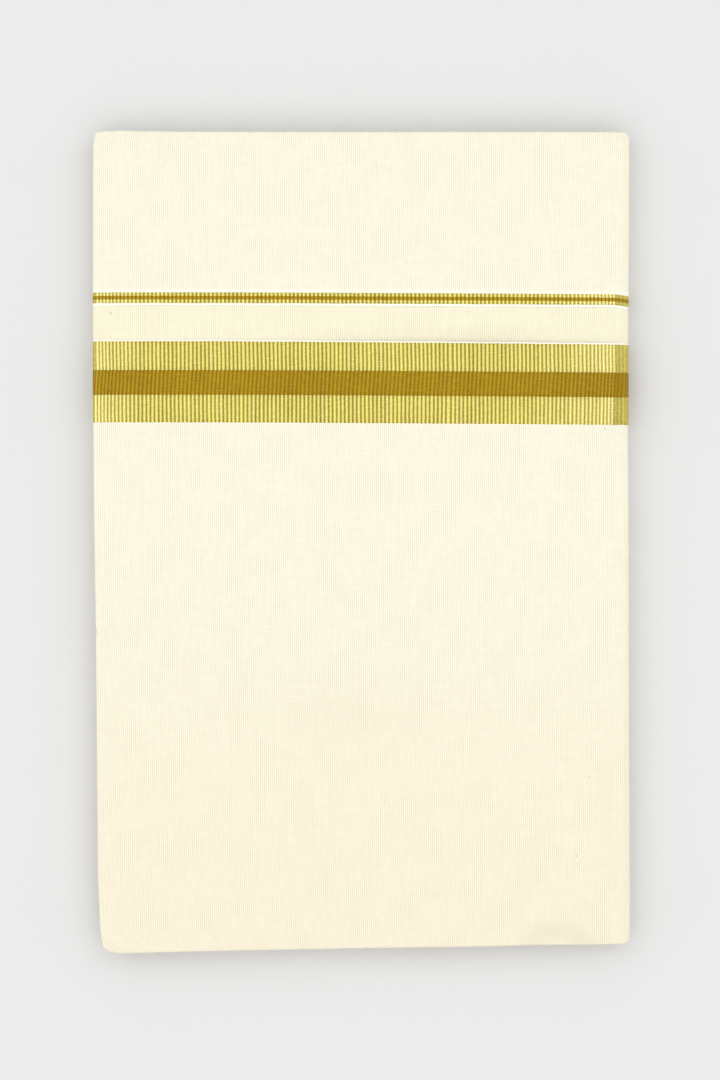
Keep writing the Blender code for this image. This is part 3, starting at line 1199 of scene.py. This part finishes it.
@dataclass
class PlainFlap:
    """A plain flap of the outer ply, from a seam to the fold at an end of the pile."""

    name: str
    node: str
    pile: PileShape
    path: OuterPath
    seam: Seam
    fold: Fold
    rows: int
    ply: float = 0.35
    fold_half: float = 0.75
    fold_reach: float = 1.0
    fold_steps: int = 11
    return_depth: float = 12.0
    return_steps: int = 5
    crowding: float = 0.12
    edge_shares: tuple[float, ...] = (0.0, 0.0012, 0.0024)
    end_y: float = 190.0
    white_width: float = 0.35
    white_fade: float = 0.3
    end_thread: float = 0.08
    # painted shade of the dents on the front
    marks: DentShade = DentShade()
    slot: Slot = Slot.CREAM

    def section(self, length: Array) -> tuple[Array, Array, Array]:
        """The flap's outline at each column, as a closed ring.

        Args:
            length: the columns' lengths along the path.

        Returns:
            Heights on the page, levels, and how far across the cloth each point lies.
        """
        way = self.fold.value
        near = self.seam.at(self.path, length)
        end_place = self.path.x_at(length, self.end_y * way)
        far = self.pile.top(end_place) if self.fold is Fold.TOP else self.pile.bottom(end_place)
        shares = np.linspace(0.0, 1.0, self.rows)
        shares = shares + self.crowding * np.sin(2 * pi * shares) / (2 * pi)
        shares = np.concatenate([self.edge_shares, shares[1:]])
        angles = np.linspace(pi / 2, -pi / 2, self.fold_steps)
        back = np.linspace(0.0, 1.0, self.return_steps)[1:]
        rings = []
        for inward in (0.0, self.ply):
            reach, half = self.fold_reach - inward, self.fold_half - inward
            bend = far - way * self.fold_reach
            straight = near[:, None] + (bend - near)[:, None] * shares[None, :]
            turning = bend[:, None] + way * reach * np.cos(angles)[None, 1:]
            returning = bend[:, None] - way * self.return_depth * back[None, :]
            y = np.concatenate([straight, turning, returning], axis=1)
            top = np.full(len(shares), -inward)
            around = -self.fold_half + half * np.sin(angles)[1:]
            below = np.full(len(back), -2 * self.fold_half + inward)
            level = np.broadcast_to(np.concatenate([top, around, below]), y.shape)
            rings.append((y, level))
        y = np.concatenate([rings[0][0], rings[1][0][:, ::-1]], axis=1)
        level = np.concatenate([rings[0][1], rings[1][1][:, ::-1]], axis=1)
        steps = np.hypot(np.diff(rings[0][0], axis=1), np.diff(rings[0][1], axis=1))
        across = np.concatenate([np.zeros((len(length), 1)), np.cumsum(steps, axis=1)], axis=1)
        across = near[:, None] + way * across
        return y, level, np.concatenate([across, across[:, ::-1]], axis=1)

    def build(self, wardrobe: Wardrobe) -> bpy.types.Object:
        """Make the flap.

        Args:
            wardrobe: the finishes.

        Returns:
            The piece.
        """
        length = self.path.columns(front=150, back=80)
        y, level, across = self.section(length)
        from_seam = np.abs(y - self.seam.at(self.path, length)[:, None])
        white = ease((self.white_width - from_seam) / self.white_fade)
        outer = np.arange(y.shape[1]) < y.shape[1] // 2
        level = level + self.end_thread * white * outer[None, :]
        points = self.path.points(length[:, None], y, level)
        # painted shade of the dents, on the front only
        painted_shade = self.marks.at(points[..., 0], points[..., 1]) * self.path.on_front(length)[:, None]
        tube = Tube(points, place_marks(length[:, None], across, selvedge=white, painted_shade=painted_shade))
        return tube.make(self.name, [wardrobe.materials[self.slot]], self.node)

    def flat_size(self) -> tuple[float, float]:
        """The flap's cut.

        Returns:
            Its size across the cloth and along it, in metres.
        """
        far = abs(self.pile.top(0.0) if self.fold is Fold.TOP else self.pile.bottom(0.0))
        across = abs(far - self.fold.value * self.seam.height) + self.return_depth + 2 * self.fold_half
        return float(across) * MM, float(self.path.length[-1]) * MM


@dataclass
class UnderPanel:
    """The strip of inner cloth between the two selvedges, tucked under both flaps."""

    path: OuterPath
    high: Seam
    low: Seam
    level: float = -0.385
    bulge: float = 0.32
    bulge_run: float = 3.0
    left_bulge_half: float = 7.0
    spine_bulge_half: float = 13.0
    ply: float = 0.31
    tuck: float = 8.0
    rows: int = 60
    # painted shade on the strip beside the wide border's free edge
    shaded: float = 0.3
    shaded_middle: float = 52.0
    shaded_half: float = 74.0
    shaded_run: float = 4.4
    slot: Slot = Slot.CREAM

    def build(self, wardrobe: Wardrobe) -> bpy.types.Object:
        """Make the strip.

        Args:
            wardrobe: the finishes.

        Returns:
            The piece.
        """
        path = self.path
        length = path.columns(front=150, back=60)
        high = self.high.at(path, length) + self.tuck
        low = self.low.at(path, length) - self.tuck
        face = low[:, None] + (high - low)[:, None] * np.linspace(0.0, 1.0, self.rows)[None, :]
        y = np.concatenate([face, face[:, ::-1]], axis=1)
        from_low = y - low[:, None] - self.tuck
        inside = np.minimum(high[:, None] - self.tuck - y, from_low)
        turning = np.maximum(
            hump(length - (path.where("left fold") + path.where("front")) / 2, self.left_bulge_half),
            hump(length - (path.where("spine") + path.where("back")) / 2, self.spine_bulge_half),
        )
        level = self.level + self.bulge * turning[:, None] * ease(inside / self.bulge_run)
        below = np.arange(y.shape[1]) >= self.rows
        points = path.points(length[:, None], y, level - self.ply * below[None, :])
        x = path.x_at(length, self.low.height)[:, None]
        # painted shade on the strip beside the wide border's free edge
        shaded = self.shaded * hump(np.maximum(from_low, 0.0), self.shaded_run)
        shaded = shaded * hump(x - self.shaded_middle, self.shaded_half)
        tube = Tube(points, place_marks(length[:, None], y, inner=1.0, painted_shade=shaded))
        piece = tube.make("under_panel_cloth", [wardrobe.materials[self.slot]], "under_panel")
        return piece


@dataclass(frozen=True)
class Ribs:
    """The ribs that run across the borders; the same weft cords pass through all of them."""

    path: OuterPath
    pitch: float = 1.884
    first: float = -26.7
    crease: float = 41.6
    crease_run: float = 1.6
    crease_gap: float = 0.55
    gather: float = 1.8
    gather_run: float = 17.0
    dull_at_left: float = -1.5
    dull_at_spine: float = -1.6
    fade: float = 1.3
    pressed_strength: float = 0.75
    pressed_run: float = 3.0
    # reach of the painted highlight near the left fold and the spine
    fold_highlight_left: float = 22.0
    fold_highlight_spine: float = 26.0
    fine_steps: int = 40000

    def phase(self, length: Array) -> Array:
        """The number of ribs passed at each length, on the upper gold band.

        Args:
            length: how far along the outer path.

        Returns:
            The count of ribs; a crest stands at each whole number.
        """
        x = self.path.x_at(length, self.path.REFERENCE_Y)
        start, end = self.path.where("front"), self.path.where("spine")
        straight = length - self.path.length_at(self.first, self.path.REFERENCE_Y)
        crease = self.crease_gap * ease((x - self.crease) / self.crease_run + 0.5)
        crease = np.where(length > end, self.crease_gap, np.where(length < start, 0.0, crease))
        near_left = self.gather * np.clip((start - length) / self.gather_run + 1.0, 0.0, 1.0) ** 2
        near_spine = self.gather * np.clip((length - end) / self.gather_run + 1.0, 0.0, 1.0) ** 2
        return (straight - crease - near_left + near_spine) / self.pitch

    def columns(self, front: int, back: int) -> Array:
        """Lengths for the columns of a ribbed sheet.

        Args:
            front: how many columns a rib has on the front and the folds.
            back: how many it has on the underside.

        Returns:
            The lengths, rising.
        """
        end = self.path.length[-1]
        fine = np.linspace(0.0, end, self.fine_steps)
        phase = self.phase(fine)
        turn = float(np.interp(self.path.where("back") + self.pressed_run, fine, phase))
        wanted = np.concatenate([
            np.arange(phase[0], turn, 1.0 / front),
            np.arange(turn, phase[-1], 1.0 / back),
        ])
        return np.unique(np.concatenate([np.interp(wanted, phase, fine), [end]]))

    def strength(self, length: Array) -> Array:
        """How clearly the ribs stand: they are pressed flat where the cloth turns.

        Args:
            length: how far along the outer path.

        Returns:
            A share for each length.
        """
        at_left = ease((length - self.path.where("front") - self.dull_at_left) / self.fade)
        at_spine = ease((self.path.where("spine") + self.dull_at_spine - length) / self.fade)
        underneath = ease((length - self.path.where("back")) / self.pressed_run)
        return np.maximum(at_left * at_spine, self.pressed_strength * underneath)

    def fold_highlight(self, length: Array) -> Array:
        """How strong the painted highlight on the metal thread is near the two folds, where the cloth bends
        down.

        Args:
            length: how far along the outer path.

        Returns:
            A share for each length.
        """
        at_left = hump(length - self.path.where("left fold"), self.fold_highlight_left)
        at_spine = hump(length - self.path.where("spine"), self.fold_highlight_spine)
        return np.clip(at_left + at_spine, 0.0, 1.0) * self.strength(length)


@dataclass
class BorderBand:
    """One woven band of a border, with its ribs as real cords across it."""

    name: str
    node: str
    high: Seam
    low: Seam
    ribs: Ribs
    slot: Slot
    rows: int = 15
    columns_front: int = 8
    columns_back: int = 4
    ply: float = 0.35
    raised: float = 0.12
    rib_height: float = 0.16
    shift_high: float = 0.0
    shift_low: float = 0.0
    lift: float = 0.0
    # painted light of the ribs: its contrast, its value where the ribs lie flat, and painted shade in the
    # valleys at the band's edges
    contrast: float = 1.0
    middle_rib_light: float = 0.29
    end_contrast: float = 0.25
    edge_valley_shade: float = 0.15
    edge_valley_shade_reach: float = 0.07
    crest_width: float = 0.85
    rib_uneven: tuple[float, float] = (0.12, 0.08)
    thread_uneven: tuple[float, float] = (0.10, 0.06)
    wobble: tuple[float, float] = (0.05, 0.02)
    edge_share: float = 0.05
    close_rows: tuple[float, float] = (0.02, 0.06)
    lift_start: float = 0.2
    pressed_run: float = 6.0
    middle_rows: tuple[float, float] | None = None
    colour_step: float = 0.012

    def shares(self) -> Array:
        """The rows' places between the band's lower and upper edge.

        Returns:
            Shares from 0 to 1, close together where the thread changes.
        """
        first, second = self.close_rows
        inner = np.linspace(second, 1.0 - second, self.rows - 4)
        shares = np.concatenate([[0.0, first], inner, [1.0 - first, 1.0]])
        if self.middle_rows is None:
            return shares
        edges = [row + side * self.colour_step for row in self.middle_rows for side in (-1, 1)]
        return np.unique(np.concatenate([shares, edges]))

    def ribbed(self, length: Array, y: Array, shares: Array) -> tuple[Array, Array]:
        """The relief of the ribs and the painted light that goes with it: painted highlight on the crests,
        painted shade between them.

        Args:
            length: the columns' lengths along the path.
            y: the height on the page of each point.
            shares: the rows' places.

        Returns:
            The level of the band's face above the path, and its painted light from 0 to 1.
        """
        phase = self.ribs.phase(length)
        crest = ease(0.5 + self.crest_width * np.cos(2 * pi * phase))[:, None]
        strength = self.ribs.strength(length)[:, None]
        number = np.round(phase)[:, None]
        slow, quick = self.rib_uneven
        uneven = slow * np.sin(number * 2.399) + quick * np.sin(number * 7.13 + 1.0)
        fine, coarse = self.thread_uneven
        grain = fine * np.sin(y * 13.9 + number * 1.7) + coarse * np.sin(y * 7.1 + number * 4.1)
        soft_ends = ease(shares / self.edge_share) * ease((1.0 - shares) / self.edge_share)
        rise = self.rib_height * crest * strength * (1.0 + uneven + grain)
        level = (self.raised + rise) * soft_ends[None, :]
        # painted highlight on the crests and painted shade between ribs, deepest in the valleys at the
        # band's edges
        painted_rib_light = 0.5 + (crest - 0.5 + 0.5 * (uneven + grain)) * self.contrast
        ends = hump(shares, self.edge_valley_shade_reach) + 0.5 * hump(1.0 - shares, self.edge_valley_shade_reach)
        painted_rib_light = painted_rib_light - self.edge_valley_shade * ends[None, :] * (1.0 - crest)
        # where the ribs are pressed flat at the folds the painted light fades to its middle value
        kept = self.end_contrast + (1.0 - self.end_contrast) * strength
        return level, self.middle_rib_light + (painted_rib_light - self.middle_rib_light) * kept

    def build(self, wardrobe: Wardrobe) -> bpy.types.Object:
        """Make the band.

        Args:
            wardrobe: the finishes.

        Returns:
            The piece.
        """
        path = self.ribs.path
        length = self.ribs.columns(self.columns_front, self.columns_back)
        column = length[:, None]
        high, low = self.high.at(path, length)[:, None], self.low.at(path, length)[:, None]
        shares = self.shares()
        y = low + (high - low) * shares[None, :]
        lean = self.shift_low + (self.shift_high - self.shift_low) * shares[None, :]
        long, short = self.wobble
        wobble = long * np.sin(column / 11.3 + y / 6.1) + short * np.sin(column / 3.7 - y / 2.3)
        along = np.clip(column + lean + wobble, 0.0, path.length[-1])
        level, painted_rib_light = self.ribbed(length, y, shares)
        freed = ease((shares - self.lift_start) / (1.0 - self.lift_start))[None, :]
        lifted = self.lift * freed * path.lifted(length)[:, None]
        pressed = ease((length - path.where("back") + self.pressed_run) / self.pressed_run)[:, None]
        level = level + lifted - (self.raised + self.rib_height) * pressed
        inner = np.broadcast_to(lifted - self.ply, level.shape)
        last = len(shares) - 1
        under = np.array([last, len(shares) // 2, 0])
        rings = [np.concatenate([face, below[:, under]], axis=1)
                 for face, below in ((along, along), (y, y), (level, inner), (painted_rib_light, painted_rib_light))]
        materials = [wardrobe.materials[self.slot]]
        tones = None
        if self.middle_rows is not None:
            materials.append(wardrobe.materials[Slot.BRONZE])
            middle = (shares[:-1] + shares[1:]) / 2
            inside = (middle > self.middle_rows[0]) & (middle < self.middle_rows[1])
            tones = np.concatenate([inside.astype(int), np.zeros(len(under) + 1, int)])
        # painted highlight on the metal thread near the folds
        fold_highlight = self.ribs.fold_highlight(length)[:, None]
        # the crest mark carries the painted rib light
        tube = Tube(path.points(*rings[:3]), place_marks(*rings[:2], crest=rings[3], fold_highlight=fold_highlight), tones)
        return tube.make(self.name, materials, self.node)

    def flat_size(self) -> tuple[float, float]:
        """The band's cut: across the cloth and along it, in metres."""
        return (self.high.height - self.low.height) * MM, float(self.ribs.path.length[-1]) * MM


@dataclass
class SelvedgeCord:
    """The firm white threads at a free selvedge, as a slim cord along the cloth."""

    name: str
    seam: Seam
    way: float
    path: OuterPath
    width: float = 0.7
    height: float = 0.34
    sides: int = 12
    overlap: float = 0.03
    level: float = -0.12
    lift: float = 0.0
    uneven: tuple[float, float] = (0.05, 0.04)
    slot: Slot = Slot.CREAM

    def build(self, wardrobe: Wardrobe) -> bpy.types.Object:
        """Make the cord.

        Args:
            wardrobe: the finishes.

        Returns:
            The piece.
        """
        length = self.path.columns(front=240, back=80)
        half = self.width / 2
        angles = np.linspace(0.0, 2 * pi, self.sides, endpoint=False)
        long, short = self.uneven
        uneven = long * np.sin(length / 5.3) + short * np.sin(length / 2.1 + 1.0)
        centre = self.seam.at(self.path, length) + self.way * (half - self.overlap) + uneven
        y = centre[:, None] + half * np.cos(angles)[None, :]
        lifted = self.lift * self.path.lifted(length)
        level = self.level + lifted[:, None] + self.height / 2 * np.sin(angles)[None, :]
        points = self.path.points(length[:, None], y, level)
        tube = Tube(points, place_marks(length[:, None], y, selvedge=1.0))
        return tube.make(self.name, [wardrobe.materials[self.slot]])


@dataclass(frozen=True)
class SoftLight:
    """A broad, distant light, tilted from straight above."""

    name: str
    strength: float
    turn: tuple[float, float]
    angle: float = 78.0
    cloth_only: bool = False


@dataclass
class Studio:
    """A pale floor, soft light from above and a camera that looks straight down."""

    floor_colour: Colour = (221.0, 221.0, 221.0)
    floor_size: float = 24.0
    floor_depth: float = 0.0002
    floor_roughness: float = 0.9
    camera_height: float = 1.7
    camera_reach: float = 100.0
    sensor: float = 36.0
    view_long_side: float = 0.5025
    look_at: tuple[float, float] = (-0.0006, 0.0007)
    sky: float = 0.05
    lights: tuple[SoftLight, ...] = (
        SoftLight("right_light", 1.61, (0.0, 50.0)),
        SoftLight("left_light", 1.77, (0.0, -50.0)),
        SoftLight("top_light", 1.03, (-50.0, 0.0)),
        SoftLight("bottom_light", 1.03, (50.0, 0.0)),
        SoftLight("right_fill", 0.85, (0.0, 78.0), angle=40.0, cloth_only=True),
        SoftLight("left_fill", 0.85, (0.0, -78.0), angle=40.0, cloth_only=True),
    )

    def make_floor(self) -> None:
        """Make the floor, which is no part of the cloth."""
        mesh = bpy.data.meshes.new("floor")
        half = self.floor_size / 2
        corners = (-half, -half), (half, -half), (half, half), (-half, half)
        mesh.from_pydata([(x, y, -self.floor_depth) for x, y in corners], [], [(0, 1, 2, 3)])
        nodes = Nodes("floor_paper")
        nodes.fill(nodes.shader, {"Base Color": linear(*self.floor_colour),
                                  "Roughness": self.floor_roughness, "Specular IOR Level": 0.0})
        mesh.materials.append(nodes.material)
        floor = bpy.data.objects.new("floor", mesh)
        bpy.context.scene.collection.objects.link(floor)
        floor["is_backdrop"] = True

    def make_lights(self) -> None:
        """Make the lights; the low ones reach the cloth only."""
        on_cloth = bpy.data.collections.new("lit_by_the_fill")
        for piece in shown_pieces():
            on_cloth.objects.link(piece)
        for row in self.lights:
            data = bpy.data.lights.new(row.name, "SUN")
            data.energy = row.strength
            data.angle = radians(row.angle)
            light = bpy.data.objects.new(row.name, data)
            light.rotation_euler = (radians(row.turn[0]), radians(row.turn[1]), 0.0)
            bpy.context.scene.collection.objects.link(light)
            if row.cloth_only:
                light.light_linking.receiver_collection = on_cloth

    def build(self, top: float) -> None:
        """Make the floor, the lights, the air and the camera.

        Args:
            top: the height of the cloth's face, in metres.
        """
        scene = bpy.context.scene
        scene.view_settings.view_transform = "Standard"
        self.make_floor()
        self.make_lights()
        world = bpy.data.worlds.new("studio_air")
        world.use_nodes = True
        world.node_tree.nodes["Background"].inputs["Strength"].default_value = self.sky
        world.node_tree.nodes["Background"].inputs["Color"].default_value = (1.0, 1.0, 1.0, 1.0)
        scene.world = world
        data = bpy.data.cameras.new("camera")
        data.sensor_width = self.sensor
        data.lens = data.sensor_width * self.camera_height / self.view_long_side
        data.clip_end = self.camera_reach
        camera = bpy.data.objects.new("camera", data)
        camera.location = (*self.look_at, top + self.camera_height)
        scene.collection.objects.link(camera)
        scene.camera = camera


def main() -> None:
    """Build the dressed cloth piece by piece, then the studio round it."""
    logging.basicConfig(level=logging.INFO, format="%(message)s")
    pile = PileShape()
    path = OuterPath(pile)
    wardrobe = Wardrobe(path)
    ribs = Ribs(path)
    narrow_top, narrow_bottom = Seam(115.95, drop=0.95, dip=0.65), Seam(111.0, drop=0.95, dip=0.65)
    wide_top, brown_top = Seam(93.2, drop=1.65, power=1.3), Seam(79.8)
    brown_bottom, wide_bottom = Seam(68.3), Seam(55.4)
    slant = -0.8
    lift = 0.95

    stack = LeafStack(pile).build(wardrobe)
    LOG.info("made %s with %d faces", stack.name, len(stack.data.polygons))
    upper = PlainFlap("upper_flap_cloth", "upper_flap", pile, path, narrow_top, Fold.TOP, rows=36)
    lower = PlainFlap("lower_flap_cloth", "lower_flap", pile, path, wide_bottom, Fold.BOTTOM, rows=110)
    narrow = BorderBand("narrow_border_cloth", "narrow_border", narrow_top, narrow_bottom, ribs,
                        Slot.GOLD, rows=13, middle_rows=(0.32, 0.69))
    upper_gold = BorderBand("upper_gold_cloth", "wide_border_upper_gold", wide_top, brown_top,
                            ribs, Slot.GOLD, shift_low=0.2, lift=lift)
    brown = BorderBand("brown_cloth", "wide_border_brown", brown_top, brown_bottom, ribs,
                       Slot.BRONZE, rib_height=0.08, shift_low=slant, contrast=0.68, edge_valley_shade=0.5,
                       middle_rib_light=0.0, end_contrast=0.6)
    lower_gold = BorderBand("lower_gold_cloth", "wide_border_lower_gold", brown_bottom, wide_bottom,
                            ribs, Slot.GOLD, shift_high=slant, shift_low=slant)
    panel = UnderPanel(path, narrow_bottom, wide_top)
    cords = [
        SelvedgeCord("narrow_selvedge", narrow_bottom, -1.0, path, width=1.15),
        SelvedgeCord("wide_selvedge", wide_top, 1.0, path, width=0.75, lift=lift),
    ]
    for maker in (upper, lower, narrow, upper_gold, brown, lower_gold, panel, *cords):
        piece = maker.build(wardrobe)
        LOG.info("made %s with %d faces", piece.name, len(piece.data.polygons))
    upper.flat_size()
    lower.flat_size()
    upper_gold.flat_size()
    brown.flat_size()
    lower_gold.flat_size()
    Studio().build(pile.thickness * MM)


if __name__ == "__main__":
    main()
